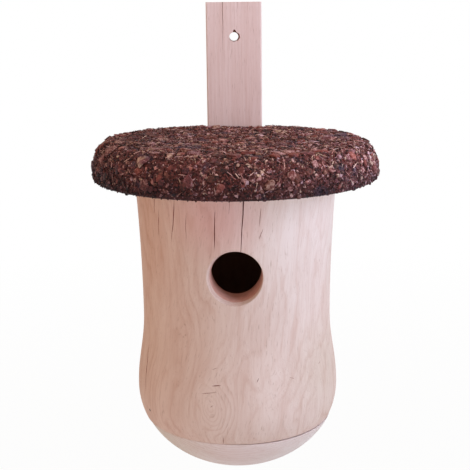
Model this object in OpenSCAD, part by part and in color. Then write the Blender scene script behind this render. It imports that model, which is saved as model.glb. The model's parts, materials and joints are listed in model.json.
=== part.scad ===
// Hanging bird nest box turned from one log: a bell-shaped hollow body with a round
// entrance, a bowl-shaped floor, a round roof coated with bark chips, and a batten up
// the back that hangs it from a nail.
// Heights are first measured from the flat underside of the floor. The whole box is then
// set with the middle of the batten's back face at the origin, +Y into the wall, +Z up.

/* [Log body] */
// Largest radius, low on the body
belly_r = 68; // [64:0.5:74]
// Height of the largest radius
belly_z = 50.5; // [46:0.5:58]
// Smallest radius, at the waist
waist_r = 63; // [60:0.5:66]
// Height of the waist
waist_z = 102; // [90:1:114]
// Radius at the top, under the roof
top_r = 66.5; // [64:0.5:72]
// Height of the body's top end
top_z = 195; // [180:1:215]
// Radius of the nest cavity bored through the log
cavity_r = 42; // [38:0.5:46]
// Distance from the log's axis to the flat planed on its back for the batten
flat_y = 62; // [60:0.5:64]

/* [Entrance] */
// Radius of the entrance hole
entrance_r = 16; // [13:0.5:18]
// Height of the entrance hole's centre
entrance_z = 140; // [125:1:150]
// How much wider the eased mouth is than the hole
mouth_flare = 1.6; // [0.5:0.1:3]
// How deep the eased mouth runs into the hole
mouth_depth = 6; // [3:0.5:9]

/* [Floor] */
// Height of the seam between floor and body
seam_z = 30; // [24:0.5:38]
// Radius of the flat underside
foot_r = 30; // [24:0.5:38]
// Height of the round spigot that enters the cavity
spigot_h = 18; // [15:0.5:22]
// Radial play of the spigot in the cavity
spigot_play = 0.8; // [0.6:0.1:1.5]
// How far the floor sits to the right in that play
floor_set = 0.6; // [0:0.1:0.6]
// Bevel on the two edges that meet at the seam
seam_bevel = 0.6; // [0.2:0.1:1]

/* [Roof] */
// Radius over the bark
roof_r = 92.5; // [86:0.5:100]
// Thickness over the bark
roof_t = 24; // [20:0.5:32]
// Gap between the roof's rear edge and the wall
wall_gap = 1; // [0.5:0.5:4]
// Width of the rounded shoulder
shoulder_w = 14; // [10:0.5:24]
// Height of the straight rim below the shoulder
rim_h = 6; // [4:0.5:10]
// Thickness of the bark layer
bark_t = 5; // [3:0.5:7]
// Rise of the top's middle above its shoulder
crown_h = 0.5; // [0.5:0.5:4]
// Bevel around the roof's lower edge
rim_bevel = 2; // [1:0.5:3]

/* [Bark chips] */
// Distance between the main chips
chip_pitch = 15; // [14:0.5:20]
// Length of a main chip, around the roof
chip_l = 13; // [9:0.5:14]
// Width of a main chip, up the roof
chip_w = 10; // [7:0.5:11]
// Height of a main chip above the bark between
chip_rise = 1.8; // [1:0.1:2.2]
// How deep a main chip is bedded in the bark between
chip_bed = 1.6; // [1.4:0.1:1.8]
// Largest tilt of a main chip out of the bark
chip_tilt = 5; // [0:0.5:6]
// Largest turn of a main chip within the bark
chip_spin = 20; // [0:1:30]

/* [Batten] */
// Width
batten_w = 39; // [30:1:44]
// Thickness
batten_t = 20; // [19:0.5:24]
// Height of its lower end above the seam
batten_foot_rise = 10; // [6:1:20]
// Height of its upper end above the body's top end
batten_head_rise = 110; // [85:1:150]
// Bevel along its long edges
batten_bevel = 0.8; // [0.3:0.1:2]
// Radius of the hanging hole
hanger_r = 3.25; // [2.5:0.25:4]
// Distance from the upper end to the hanging hole
hanger_drop = 24; // [16:1:30]
// Clearance of the roof's notch around the batten
notch_clear = 0.5; // [0.3:0.1:1.5]

/* [Fixings] */
// Shank radius of the batten screws
screw_r = 2; // [1.5:0.25:2.5]
// Head radius of the batten screws
screw_head_r = 4; // [3.5:0.25:5]
// Depth that the batten screws bite into the log
screw_bite = 14; // [10:1:15]
// Distance of the upper screw below the body's top end
upper_screw_drop = 12; // [10:1:16]
// Distance of the lower screw above the batten's lower end
lower_screw_rise = 16; // [10:1:25]
// Radius of the nails that hold the floor
nail_r = 0.8; // [0.6:0.1:1.2]
// Depth that those nails bite into the floor's spigot
nail_bite = 8; // [5:1:14]
// Height of the nails above the seam
nail_rise = 12; // [9:0.5:13]
// Turn of the left nail from the front of the box
nail_turn = 60; // [50:1:85]

/* [Hidden] */
$fn = 96;

// Overrun of every cut past the face it opens
over = 1;
// Steps along each stretch of a turned profile
steps = 16;

batten_back_y = flat_y + batten_t;
batten_foot_z = seam_z + batten_foot_rise;
batten_head_z = top_z + batten_head_rise;
batten_l = batten_head_z - batten_foot_z;
hanger_z = batten_head_z - hanger_drop;
origin_z = batten_foot_z + batten_l / 2;
// Full height of the ellipse that the bowl follows, which the underside cuts short
bowl_h = belly_z / sqrt(1 - pow(foot_r / belly_r, 2));
spigot_r = cavity_r - spigot_play;
nail_z = seam_z + nail_rise;
upper_screw_z = top_z - upper_screw_drop;
lower_screw_z = batten_foot_z + lower_screw_rise;
// A head has a right-angled cone, so it is as deep as it is wider than the shank
screw_head_h = screw_head_r - screw_r;
screw_l = batten_t + screw_bite;
// How far the roof's centre sits in front of the log's axis
roof_forward = roof_r + wall_gap - batten_back_y;
// Radius of the roof's flat top, inside its shoulder
flat_r = roof_r - shoulder_w;
// Turns up the shoulder at which its two rows of chips sit
shoulder_turns = [12, 62];
// Share of the pitch between the flat top's edge and its first row of chips
top_row_share = 0.45;
// Corners of a chip's broken outline
chip_corners = 5;

alder = [0.83, 0.70, 0.65];
alder_end = [0.80, 0.68, 0.64];
board_pine = [0.80, 0.68, 0.55];
bark_brown = [0.30, 0.20, 0.17];
batten_pink = [0.80, 0.68, 0.66];
zinc = [0.72, 0.72, 0.70];

// Radius of the turned outside at a height
function log_r(z) =
    z >= waist_z ? waist_r + (top_r - waist_r) * pow((z - waist_z) / (top_z - waist_z), 2)
    : z >= belly_z ? waist_r + (belly_r - waist_r) * (1 - cos(180 * (waist_z - z) / (waist_z - belly_z))) / 2
    : belly_r * sqrt(1 - pow((belly_z - z) / bowl_h, 2));

// Points of the turned outside between two heights
function log_stretch(z_from, z_to) =
    [for (i = [0 : steps]) let (z = z_from + (z_to - z_from) * i / steps) [log_r(z), z]];

// Outline of the roof at a depth below its outer skin: lower edge, rim, shoulder, crown
function roof_outline(skin, lower_edge) =
    let (half_w = shoulder_w - skin, half_h = roof_t - rim_h - skin)
    [[0, 0], each lower_edge,
        for (i = [0 : steps]) let (a = 90 * i / steps)
            [roof_r - shoulder_w + half_w * cos(a), rim_h + half_h * sin(a)],
        [0, rim_h + half_h + crown_h]];
board_edge = [[roof_r - bark_t, 0]];
bark_r = roof_r - chip_rise;
bark_edge = [[bark_r - rim_bevel, 0], [bark_r, rim_bevel]];

// Rows of main chips up the shoulder and then inwards over the top: radius, height and slope of each
chip_rows = let (half_w = shoulder_w - chip_rise, half_h = roof_t - rim_h - chip_rise) [
    for (a = shoulder_turns)
        [flat_r + half_w * cos(a), rim_h + half_h * sin(a), atan2(half_h * cos(a), half_w * sin(a))],
    for (r = [flat_r - top_row_share * chip_pitch : -chip_pitch : 0])
        [r, rim_h + half_h + crown_h * (1 - r / flat_r), 0]];

// Sets a piece from the height of the underside and the log's axis into the hanging frame
module hung() {
    translate([0, -batten_back_y, -origin_z]) children();
}

// Places a piece at a nail: along -Y from the log's axis, turned about it
module at_nail(turn) {
    translate([0, 0, nail_z]) rotate([0, 0, turn]) rotate([90, 0, 0]) children();
}

// Nail from its point in the spigot to the log's skin, or past it where it is cut as a hole
module nail_shape(turn, past) {
    point_r = spigot_r - nail_bite;
    at_nail(turn) translate([0, 0, point_r])
        cylinder(r = nail_r, h = log_r(nail_z) - point_r + past);
}

module floor_nail(turn) {
    color(zinc) hung() nail_shape(turn, 0);
}

// Holes for both nails
module nail_holes() {
    for (turn = [-nail_turn, 180 - nail_turn]) nail_shape(turn, over);
}

// Countersunk screw with its head's face at the batten's back
module screw_shape(z) {
    translate([0, batten_back_y, z]) rotate([90, 0, 0]) {
        cylinder(r1 = screw_head_r, r2 = screw_r, h = screw_head_h);
        translate([0, 0, screw_head_h]) cylinder(r = screw_r, h = screw_l - screw_head_h);
    }
}

module batten_screw(z) {
    color(zinc) hung() screw_shape(z);
}

// Holes for both screws
module screw_holes() {
    for (z = [lower_screw_z, upper_screw_z]) screw_shape(z);
}

module log_body() {
    color(alder) hung() difference() {
        rotate_extrude()
            polygon([[cavity_r, seam_z], [log_r(seam_z) - seam_bevel, seam_z],
                each log_stretch(seam_z + seam_bevel, belly_z), each log_stretch(belly_z, waist_z),
                each log_stretch(waist_z, top_z), [cavity_r, top_z]]);
        entrance();
        // Flat planed along the back
        translate([-belly_r, flat_y, seam_z - over])
            cube([2 * belly_r, belly_r, top_z - seam_z + 2 * over]);
        screw_holes();
        nail_holes();
    }
}

// Entrance bore through the front wall, with its mouth eased outwards
module entrance() {
    mouth_r = log_r(entrance_z + entrance_r);
    mouth_slope = mouth_flare / mouth_depth;
    translate([0, 0, entrance_z]) rotate([90, 0, 0]) {
        cylinder(r = entrance_r, h = mouth_r + over);
        translate([0, 0, mouth_r - mouth_depth])
            cylinder(r1 = entrance_r, r2 = entrance_r + mouth_slope * (mouth_depth + over),
                h = mouth_depth + over);
    }
}

module floor_bowl() {
    color(alder_end) hung() difference() {
        translate([floor_set, 0, 0]) rotate_extrude()
            polygon([[0, 0], each log_stretch(0, seam_z - seam_bevel),
                [log_r(seam_z) - seam_bevel, seam_z], [spigot_r, seam_z],
                [spigot_r, seam_z + spigot_h], [0, seam_z + spigot_h]]);
        nail_holes();
    }
}

// Slot up the back of the roof that the batten stands in
module batten_notch() {
    slot_w = batten_w + 2 * notch_clear;
    translate([-slot_w / 2, flat_y - notch_clear, top_z - over])
        cube([slot_w, roof_r, roof_t + crown_h + 2 * over]);
}

module roof_turning(skin, lower_edge) {
    translate([0, -roof_forward, top_z]) rotate_extrude() polygon(roof_outline(skin, lower_edge));
}

module roof_board() {
    color(board_pine) hung() difference() {
        roof_turning(bark_t, board_edge);
        batten_notch();
    }
}

// Flat chip with a broken outline, bedded in the bark; shakes from -1 to 1 vary its corners, tilt and turn
module bark_chip(shakes) {
    rotate([chip_tilt * shakes[0], chip_tilt * shakes[1], chip_spin * shakes[2]])
        translate([0, 0, -chip_bed]) linear_extrude(height = chip_bed + chip_rise)
            polygon([for (i = [0 : chip_corners - 1])
                let (a = (i + shakes[3 + i] / 4) * 360 / chip_corners,
                    reach_share = 0.9 + shakes[3 + chip_corners + i] / 10)
                    reach_share / 2 * [chip_w * cos(a), chip_l * sin(a)]]);
}

// Staggered rings of chips
module main_chips() {
    for (row = [0 : len(chip_rows) - 1]) {
        r = chip_rows[row][0];
        count = max(1, round(2 * PI * r / chip_pitch));
        for (i = [0 : count - 1])
            rotate([0, 0, (i + row / 2) * 360 / count]) translate([r, 0, chip_rows[row][1]])
                rotate([0, chip_rows[row][2], 0])
                    bark_chip(rands(-1, 1, 3 + 2 * chip_corners, 100 * row + i));
    }
}

module bark_cover() {
    color(bark_brown) hung() difference() {
        union() {
            roof_turning(chip_rise, bark_edge);
            translate([0, -roof_forward, top_z]) main_chips();
        }
        roof_turning(bark_t, board_edge);
        batten_notch();
    }
}

module hanging_batten() {
    color(batten_pink) hung() difference() {
        translate([0, flat_y, batten_foot_z]) batten_bar();
        translate([0, flat_y - over, hanger_z]) rotate([-90, 0, 0])
            cylinder(r = hanger_r, h = batten_t + 2 * over);
        screw_holes();
    }
}

// Bar with its long edges bevelled, standing on its lower end
module batten_bar() {
    half_w = batten_w / 2;
    linear_extrude(height = batten_l)
        polygon([[-half_w, batten_bevel], [-half_w + batten_bevel, 0], [half_w - batten_bevel, 0],
            [half_w, batten_bevel], [half_w, batten_t - batten_bevel],
            [half_w - batten_bevel, batten_t], [-half_w + batten_bevel, batten_t],
            [-half_w, batten_t - batten_bevel]]);
}

log_body();
floor_bowl();
floor_nail(-nail_turn);  // floor_nail_left
floor_nail(180 - nail_turn);  // floor_nail_right
roof_board();
bark_cover();
hanging_batten();
batten_screw(upper_screw_z);  // batten_screw_upper
batten_screw(lower_screw_z);  // batten_screw_lower
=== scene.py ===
"""Looks of a bird nest box turned from a log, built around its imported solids."""

import json
import math
import random
from collections import namedtuple

import bmesh
import bpy
from mathutils import Matrix, Vector, noise

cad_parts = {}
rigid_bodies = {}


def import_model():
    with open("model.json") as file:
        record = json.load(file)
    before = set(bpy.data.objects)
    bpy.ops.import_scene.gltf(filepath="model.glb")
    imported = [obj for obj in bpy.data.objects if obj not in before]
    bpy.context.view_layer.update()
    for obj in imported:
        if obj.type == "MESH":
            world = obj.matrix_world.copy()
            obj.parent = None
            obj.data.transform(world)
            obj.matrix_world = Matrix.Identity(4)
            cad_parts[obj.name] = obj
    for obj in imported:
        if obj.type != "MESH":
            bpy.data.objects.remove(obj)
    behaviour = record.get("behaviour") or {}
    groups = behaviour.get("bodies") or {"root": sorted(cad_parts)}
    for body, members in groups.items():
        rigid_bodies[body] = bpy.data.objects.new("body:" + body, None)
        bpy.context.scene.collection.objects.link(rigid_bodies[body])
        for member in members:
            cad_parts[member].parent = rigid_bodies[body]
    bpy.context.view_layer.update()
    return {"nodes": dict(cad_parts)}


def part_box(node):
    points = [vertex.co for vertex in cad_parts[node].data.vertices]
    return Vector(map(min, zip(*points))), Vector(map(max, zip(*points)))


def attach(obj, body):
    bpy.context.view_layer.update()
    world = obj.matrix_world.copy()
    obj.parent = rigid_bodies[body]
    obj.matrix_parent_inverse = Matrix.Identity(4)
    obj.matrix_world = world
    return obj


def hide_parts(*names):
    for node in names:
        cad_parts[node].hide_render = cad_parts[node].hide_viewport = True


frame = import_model()

bl_info = {
    "name": "Turned nest box",
    "version": (1, 0, 0),
    "blender": (4, 5, 0),
    "location": "View3D > Sidebar > Nest box",
    "description": "Wood, bark and stage of a hanging bird nest box turned from a log",
    "category": "Object",
}

MM = 0.001
BODY = "root"
SCREWS = ("batten_screw_upper", "batten_screw_lower")
NAILS = ("floor_nail_left", "floor_nail_right")

LOG_LOW, LOG_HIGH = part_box("log_body")
FLOOR_LOW, FLOOR_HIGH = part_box("floor_bowl")
BATTEN_LOW, BATTEN_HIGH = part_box("hanging_batten")
BOARD_LOW, BOARD_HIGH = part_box("roof_board")

# The log's axis is upright, a belly's radius behind the log's front, and heights start at the underside
BELLY_R = (LOG_HIGH.x - LOG_LOW.x) / 2
AXIS = Vector((0, LOG_LOW.y + BELLY_R, FLOOR_LOW.z))
FLOOR_AXIS = Vector(((FLOOR_LOW.x + FLOOR_HIGH.x) / 2, AXIS.y, AXIS.z))
SEAM = LOG_LOW.z - AXIS.z
LOG_TOP = LOG_HIGH.z - AXIS.z
SPIGOT_TOP = FLOOR_HIGH.z - AXIS.z

# The turned profile of the log and the floor
BELLY_Z = 50.5 * MM
WAIST_R = 63 * MM
WAIST_Z = 102 * MM
TOP_R = 66.5 * MM
FOOT_R = 30 * MM
CAVITY_R = 42 * MM
SPIGOT_R = 41.2 * MM
SEAM_BEVEL = 0.6 * MM
ENTRANCE_R = 16 * MM
ENTRANCE_Z = 140 * MM

# The roof's profile over its bark; its board is smaller by the bark's thickness
BARK_T = 5 * MM
ROOF_R = (BOARD_HIGH.x - BOARD_LOW.x) / 2 + BARK_T
ROOF_AXIS = Vector((0, BOARD_LOW.y + ROOF_R - BARK_T, BOARD_LOW.z))
ROOF_T = 24 * MM
SHOULDER_W = 14 * MM
RIM_H = 6 * MM


def display_colour(red, green, blue):
    """Linear colour, with alpha, of display values from 0 to 255."""
    def linear(value):
        share = value / 255
        return share / 12.92 if share <= 0.04045 else ((share + 0.055) / 1.055) ** 2.4
    return (linear(red), linear(green), linear(blue), 1.0)


def length_prop(name, description, millimetres):
    """A length that a user can set; its default is in millimetres."""
    return bpy.props.FloatProperty(name=name, description=description, default=millimetres * MM,
                                   unit="LENGTH", precision=4)


def angle_prop(name, description, degrees):
    """An angle that a user can set; its default is in degrees."""
    return bpy.props.FloatProperty(name=name, description=description,
                                   default=math.radians(degrees), subtype="ANGLE")


def value_prop(name, description, value, **settings):
    """A value from 0 up that a user can set."""
    return bpy.props.FloatProperty(name=name, description=description, default=value, min=0, **settings)


def count_prop(name, description, count):
    """A number of rows or columns that a user can set."""
    return bpy.props.IntProperty(name=name, description=description, default=count, min=3)


def colour_prop(name, description, red, green, blue):
    """A colour that a user can set; its default is in display values from 0 to 255."""
    return bpy.props.FloatVectorProperty(name=name, description=description, subtype="COLOR", size=4,
                                         min=0, max=1, default=display_colour(red, green, blue))


class StageLook(bpy.types.PropertyGroup):
    """Camera, lamps and floor around the box."""

    camera_back: length_prop("Camera distance", "From the log's axis to the camera, level", 659.4)
    camera_rise: length_prop("Camera height", "Above the box's flat underside", 303)
    camera_side: length_prop("Camera offset", "To the right of the log's axis", -0.7)
    camera_pitch: angle_prop("Camera pitch", "Turn of the camera below the horizon", 12.85)
    camera_roll: angle_prop("Camera roll", "Turn of the camera about its own line of sight", -0.62)
    lens: value_prop("Focal length", "For the sensor's width", 77.28, unit="CAMERA")
    sensor: value_prop("Sensor width", "Width of the camera's sensor", 36, unit="CAMERA")
    floor_drop: length_prop("Floor drop", "From the box's underside down to the floor", 300)
    floor_reach: length_prop("Floor reach", "Half the width of the floor", 9000)
    shadow_reach: length_prop("Shadow reach", "Distance at which the floor has faded to white", 1800)
    shadow_white: value_prop("Shadow white", "Share of plain white in the floor's shadow", 0.93, max=1)
    ambient: value_prop("Ambient", "Strength of the room's even light", 0.44)
    key_watts: value_prop("Key lamp", "Power of the lamp on the right", 1.3, unit="POWER")
    fill_watts: value_prop("Fill lamp", "Power of the lamp on the left", 3.2, unit="POWER")
    card_watts: value_prop("Card", "Power of the light from a card low in front", 2.2, unit="POWER")
    top_watts: value_prop("Top lamp", "Power of the lamp overhead", 5, unit="POWER")
    room_colour: colour_prop("Room colour", "The room's even light", 255, 240, 217)
    key_colour: colour_prop("Key colour", "Daylight from the right", 220, 231, 255)
    fill_colour: colour_prop("Fill colour", "Warm light from the left", 255, 197, 170)
    card_colour: colour_prop("Card colour", "Light from the card", 194, 221, 255)
    top_colour: colour_prop("Top colour", "Light from overhead", 247, 242, 255)


class WoodLook(bpy.types.PropertyGroup):
    """Sizes and colours of the turned log, the floor, the roof board and the batten."""

    rows: count_prop("Rows", "Rows of faces up the turned log", 112)
    columns: count_prop("Columns", "Faces around the turned log", 288)
    tool_wave: length_prop("Tool wave", "How far the turned skin wanders from a true turning", 0.12)
    rim_round: length_prop("Entrance edge", "Width of the sanded edge round the entrance", 0.5)
    flare: length_prop("Entrance flare", "How much wider the entrance is at the skin", 1.3)
    flare_side: length_prop("Flare to one side", "How much more the entrance flares to one side", 1.2)
    flare_turn: angle_prop("Flare turn", "Side of the wider flare, from the right over the top", 212)
    pith_side: length_prop("Pith, sideways", "From the log's axis to the left", 30)
    pith_back: length_prop("Pith, back", "From the log's axis to the rear", 6)
    pith_lean: angle_prop("Pith lean", "Lean of the pith's upper end to the right", 6)
    ring_width: length_prop("Ring width", "Distance between growth rings", 3.1)
    seam_gap: length_prop("Seam gap", "How far the seam has opened on the right", 0.9)
    heart_lean: angle_prop("Heart lean", "Lean of the heartwood's upper end to the left", 14)
    heart: colour_prop("Heartwood", "Middle of the heartwood", 217, 180, 161)
    young: colour_prop("Young wood", "Between heartwood and sapwood", 227, 203, 193)
    sap: colour_prop("Sapwood", "Outside of the log", 230, 216, 212)
    floor: colour_prop("Floor", "Turned floor", 237, 220, 218)
    batten: colour_prop("Batten", "Planed batten", 240, 215, 212)
    board: colour_prop("Roof board", "Sawn underside of the roof", 214, 186, 152)
    bore: colour_prop("Entrance wall", "Burnished wood inside the entrance", 212, 164, 151)
    cavity: colour_prop("Cavity wall", "Bored wood inside the log", 150, 108, 88)
    crack: colour_prop("Crack", "Inside of the drying cracks", 150, 68, 52)
    check: colour_prop("Check", "Shallow drying check in the batten", 196, 164, 154)
    splinters: colour_prop("Splinters", "Torn wood round the hanging hole", 140, 86, 68)


class BarkLook(bpy.types.PropertyGroup):
    """Sizes and colours of the bark coat on the roof."""

    sink: length_prop("Sink", "Depth of the crust below the coat's outer skin", 1.4)
    lump: length_prop("Lumps", "Height of the crust's lumps", 0.7)
    swell: length_prop("Swell", "How much fuller the coat's shoulder is on the left", 1.7)
    swell_turn: angle_prop("Swell turn", "Middle of the fuller shoulder, from front to right", -88)
    bed_margin: length_prop("Bed margin", "Chips keep this far from the batten", 1.6)
    crust_tone: value_prop("Crust tone", "Tone of the crust between the chips", 0.3, max=1)
    dark: colour_prop("Dark bark", "Deepest chips", 34, 16, 15)
    mid: colour_prop("Middle bark", "Most of the chips", 120, 61, 57)
    pale: colour_prop("Pale bark", "Chips that show the inner bark", 228, 178, 170)
    red: colour_prop("Red bark", "Chips from under the outer bark", 148, 80, 68)
    slate: colour_prop("Slate bark", "Weathered patches", 60, 54, 70)


class MetalLook(bpy.types.PropertyGroup):
    """Colours of the screws and nails, and the size of the screws' recess."""

    zinc: colour_prop("Zinc", "Plated screws and nails", 176, 176, 170)
    zinc_dull: colour_prop("Dull zinc", "Where the plate has dulled", 112, 108, 102)
    steel: colour_prop("Nail steel", "Bare nails, gone dark", 74, 66, 62)
    recess_reach: length_prop("Recess reach", "From end to end of the recess in a screw's head", 4.6)
    recess_width: length_prop("Recess width", "Width of the recess's arms", 1.0)
    recess_depth: length_prop("Recess depth", "Depth of the recess", 1.5)


# Small helpers for node trees

def node(tree, kind, inputs=None, **settings):
    """A new node with its settings; an input takes a value, or a socket to link from."""
    made = tree.nodes.new(kind)
    for name, value in settings.items():
        setattr(made, name, value)
    plug_all(tree, made.inputs, inputs or {})
    return made


def plug(tree, socket, value):
    """Links a socket to another, or sets its value."""
    if isinstance(value, bpy.types.NodeSocket):
        tree.links.new(value, socket)
    else:
        socket.default_value = value


def plug_all(tree, sockets, values):
    """Links or sets several of a node's sockets by their names."""
    for name, value in values.items():
        plug(tree, sockets[name], value)


def math_node(tree, operation, *values):
    """The result of a Math node on values or sockets."""
    return node(tree, "ShaderNodeMath", dict(enumerate(values)), operation=operation).outputs[0]


def vector_node(tree, operation, *values):
    """The vector, or the value, that a Vector Math node puts out."""
    made = node(tree, "ShaderNodeVectorMath", dict(enumerate(values)), operation=operation)
    return made.outputs["Value" if operation in {"LENGTH", "DOT_PRODUCT"} else "Vector"]


def scaled(tree, vector, factor):
    """A vector times a value."""
    made = node(tree, "ShaderNodeVectorMath", {0: vector, "Scale": factor}, operation="SCALE")
    return made.outputs["Vector"]


def remap(tree, value, low, high, to_low=0.0, to_high=1.0):
    """A value stretched from one range to another and held inside it."""
    return node(tree, "ShaderNodeMapRange", {"Value": value, "From Min": low, "From Max": high,
                                             "To Min": to_low, "To Max": to_high}).outputs["Result"]


def blend_colour(tree, share, first, second, blend="MIX"):
    """Two colours mixed by a share."""
    made = node(tree, "ShaderNodeMix", data_type="RGBA", blend_type=blend)
    ends = [socket for socket in made.inputs if socket.type == "RGBA"]
    for socket, value in zip((made.inputs[0], *ends), (share, first, second)):
        plug(tree, socket, value)
    return next(socket for socket in made.outputs if socket.type == "RGBA")


def noise_field(tree, position, scale, detail=2.0, rough=0.5, stretch=None, output="Fac"):
    """A noise value, or its colour; stretch multiplies the position along its three axes first."""
    if stretch:
        position = vector_node(tree, "MULTIPLY", position, stretch)
    return node(tree, "ShaderNodeTexNoise", {"Vector": position, "Scale": scale, "Detail": detail,
                                             "Roughness": rough}).outputs[output]


def level_ramp(tree, value, *steps):
    """A value through a ramp of steps, each a position with a level or a colour."""
    made = node(tree, "ShaderNodeValToRGB", {"Fac": value})
    elements = made.color_ramp.elements
    while len(elements) < len(steps):
        elements.new(0.5)
    for element, (position, level) in zip(elements, steps):
        element.position = position
        element.color = level if hasattr(level, "__len__") else (level, level, level, 1)
    return made.outputs["Color"]


def new_group(name, inputs, outputs, kind="ShaderNodeTree"):
    """An empty node group with its sockets: (tree, inputs, output node)."""
    tree = bpy.data.node_groups.new(name, kind)
    for way, sockets in (("INPUT", inputs), ("OUTPUT", outputs)):
        for label, holds in sockets:
            tree.interface.new_socket(label, in_out=way, socket_type="NodeSocket" + holds)
    return tree, tree.nodes.new("NodeGroupInput").outputs, tree.nodes.new("NodeGroupOutput")


def use_group(tree, make_group, inputs):
    """A shader group, made when it is first needed, placed in a tree: its outputs."""
    made = tree.nodes.new("ShaderNodeGroup")
    made.node_tree = bpy.data.node_groups.get(make_group.__name__) or make_group()
    plug_all(tree, made.inputs, inputs)
    return made.outputs


# Shader groups that several finishes share, with positions in millimetres and the grain along Z

# Fineness of the figure along its three axes: twice across the grain, and along it
DRIFT_STRETCH = (1, 1, 0.28)
PATCH_STRETCH = (1, 1, 0.4)
CLOUD_STRETCH = (1, 1, 0.13)
CUT_STRETCH = (1, 1, 0.3)
FIBRE_STRETCH = (0.75, 0.75, 0.018)
PORE_STRETCH = (2.1, 2.1, 0.12)
# Darkness across a growth ring, from its inner side to its outer one
RING_STEPS = ((0.0, 0.4), (0.1, 0.0), (0.62, 0.12), (0.92, 1.0), (1.0, 0.4))
# The small quiver in the drift of the grain, against the drift itself
QUIVER_SHARE = 0.14
# A knot is longer along the grain, ages faster from its middle outwards and runs into the rings around it
KNOT_SQUASH = 0.7
KNOT_GROWTH = 1.35
KNOT_BLEND = 9.0


def wandering_grain():
    """Positions that drift as a tree's growth does, slowly along the grain."""
    tree, given, out = new_group("wandering_grain", (("Position", "Vector"), ("Wander", "Float")),
                                 (("Position", "Vector"),))
    slow = vector_node(tree, "MULTIPLY", given["Position"], DRIFT_STRETCH)
    drift = noise_field(tree, slow, scale=0.03, detail=3.0, rough=0.45, output="Color")
    quiver = noise_field(tree, slow, scale=0.16, output="Color")
    drift = vector_node(tree, "ADD", drift, scaled(tree, quiver, QUIVER_SHARE))
    mean = (1 + QUIVER_SHARE) / 2
    drift = vector_node(tree, "SUBTRACT", drift, (mean, mean, mean))
    moved = vector_node(tree, "ADD", given["Position"], scaled(tree, drift, given["Wander"]))
    plug(tree, out.inputs["Position"], moved)
    return tree


def grain_round_knot():
    """Positions pushed aside so that fibres flow round a knot, and the knot's own growth."""
    tree, given, out = new_group(
        "grain_round_knot",
        (("Position", "Vector"), ("Knot", "Vector"), ("Across", "Vector"), ("Knot Radius", "Float"),
         ("Start", "Float")),
        (("Position", "Vector"), ("Age", "Float")))
    offset = vector_node(tree, "SUBTRACT", given["Position"], given["Knot"])
    across = vector_node(tree, "DOT_PRODUCT", offset, given["Across"])
    along = node(tree, "ShaderNodeSeparateXYZ", {"Vector": offset}).outputs["Z"]
    rise = math_node(tree, "MULTIPLY", along, KNOT_SQUASH)
    square = math_node(tree, "ADD", math_node(tree, "MULTIPLY", across, across),
                       math_node(tree, "MULTIPLY", rise, rise))
    core = math_node(tree, "MULTIPLY", given["Knot Radius"], given["Knot Radius"])
    share = math_node(tree, "DIVIDE", core, math_node(tree, "ADD", square, core))
    push = scaled(tree, given["Across"], math_node(tree, "MULTIPLY", across, share))
    reach = math_node(tree, "MULTIPLY", math_node(tree, "SQRT", square), KNOT_GROWTH)
    plug_all(tree, out.inputs, {"Position": vector_node(tree, "SUBTRACT", given["Position"], push),
                                "Age": math_node(tree, "ADD", reach, given["Start"])})
    return tree


def wood_figure():
    """Late-wood lines of the growth rings, fibres, pores and slow clouds of tone."""
    tree, given, out = new_group(
        "wood_figure", (("Position", "Vector"), ("Age", "Float"), ("Ring Width", "Float")),
        (("Ring", "Float"), ("Fibre", "Float"), ("Pore", "Float"), ("Cloud", "Float")))
    place = given["Position"]
    phase = math_node(tree, "FRACT", math_node(tree, "DIVIDE", given["Age"], given["Ring Width"]))
    late = level_ramp(tree, phase, *RING_STEPS)
    patch = noise_field(tree, place, scale=0.05, stretch=PATCH_STRETCH)
    strength = remap(tree, patch, 0.36, 0.64, to_low=0.2)
    fibre = noise_field(tree, place, scale=1.0, detail=3.0, rough=0.65, stretch=FIBRE_STRETCH)
    pore = noise_field(tree, place, scale=1.0, stretch=PORE_STRETCH)
    cloud = noise_field(tree, place, scale=0.09, detail=3.0, stretch=CLOUD_STRETCH)
    plug_all(tree, out.inputs, {"Ring": math_node(tree, "MULTIPLY", late, strength),
                                "Fibre": remap(tree, fibre, 0.3, 0.7),
                                "Pore": remap(tree, pore, 0.6, 0.74), "Cloud": cloud})
    return tree


# Finishes

# Tints of late wood and of pores, by which the ground colour is multiplied
LATE_WOOD = (0.78, 0.63, 0.57, 1)
PORE = (0.55, 0.42, 0.36, 1)
# How much rougher or smoother than its mean the wood is, and the heights of the grain and of the bark
ROUGH_VARIES = 0.08
GRAIN_RELIEF = 0.1 * MM
BARK_RELIEF = 0.5 * MM

# How far the log's rings wander, the distances from the pith at which heartwood ends and sapwood begins, in
# millimetres, and the share of the way between them at which the wood is young
LOG_WANDER = 21.0
HEART_REACH = 40
SAP_REACH = 112
YOUNG_SHARE = 0.45

# Turn, height and radius of the knots in the turned skin and of the patches of painted light and shade on
# it, in degrees and millimetres
Spot = namedtuple("Spot", "turn height radius")
LOG_KNOTS = (Spot(-15.0, 57.0, 13.0), Spot(19.0, 72.0, 6.0), Spot(148.0, 96.0, 9.0))
# Painted shade under the roof and on the right of the belly, and painted light on the left of the waist
LOG_PAINTED_SHADING = (
    (Spot(-11.0, 180.0, 36.0), (0.98, 0.82, 0.85, 1)),
    (Spot(58.0, 71.0, 41.0), (0.88, 0.88, 0.84, 1)),
    (Spot(-66.0, 106.0, 42.0), (1.04, 1.10, 1.13, 1)),
)
# Painted shade on the left of the floor and painted light on its right
FLOOR_PAINTED_SHADING = (
    (Spot(-62.0, 22.0, 56.0), (0.86, 0.90, 0.82, 1)),
    (Spot(62.0, 20.0, 50.0), (1.03, 1.10, 1.11, 1)),
)

# The pith of the floor and of the roof board lies below and to the rear, with the grain from side to side;
# the batten's pith lies beside it, with the grain upright
BOARD_PITH = Vector((0, 20 * MM, -60 * MM))
BATTEN_PITH = Vector((90 * MM, 20 * MM, 0))
GRAIN_SIDEWAYS = (0, math.radians(-90), 0)
GRAIN_UPRIGHT = (0, 0, 0)

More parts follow.
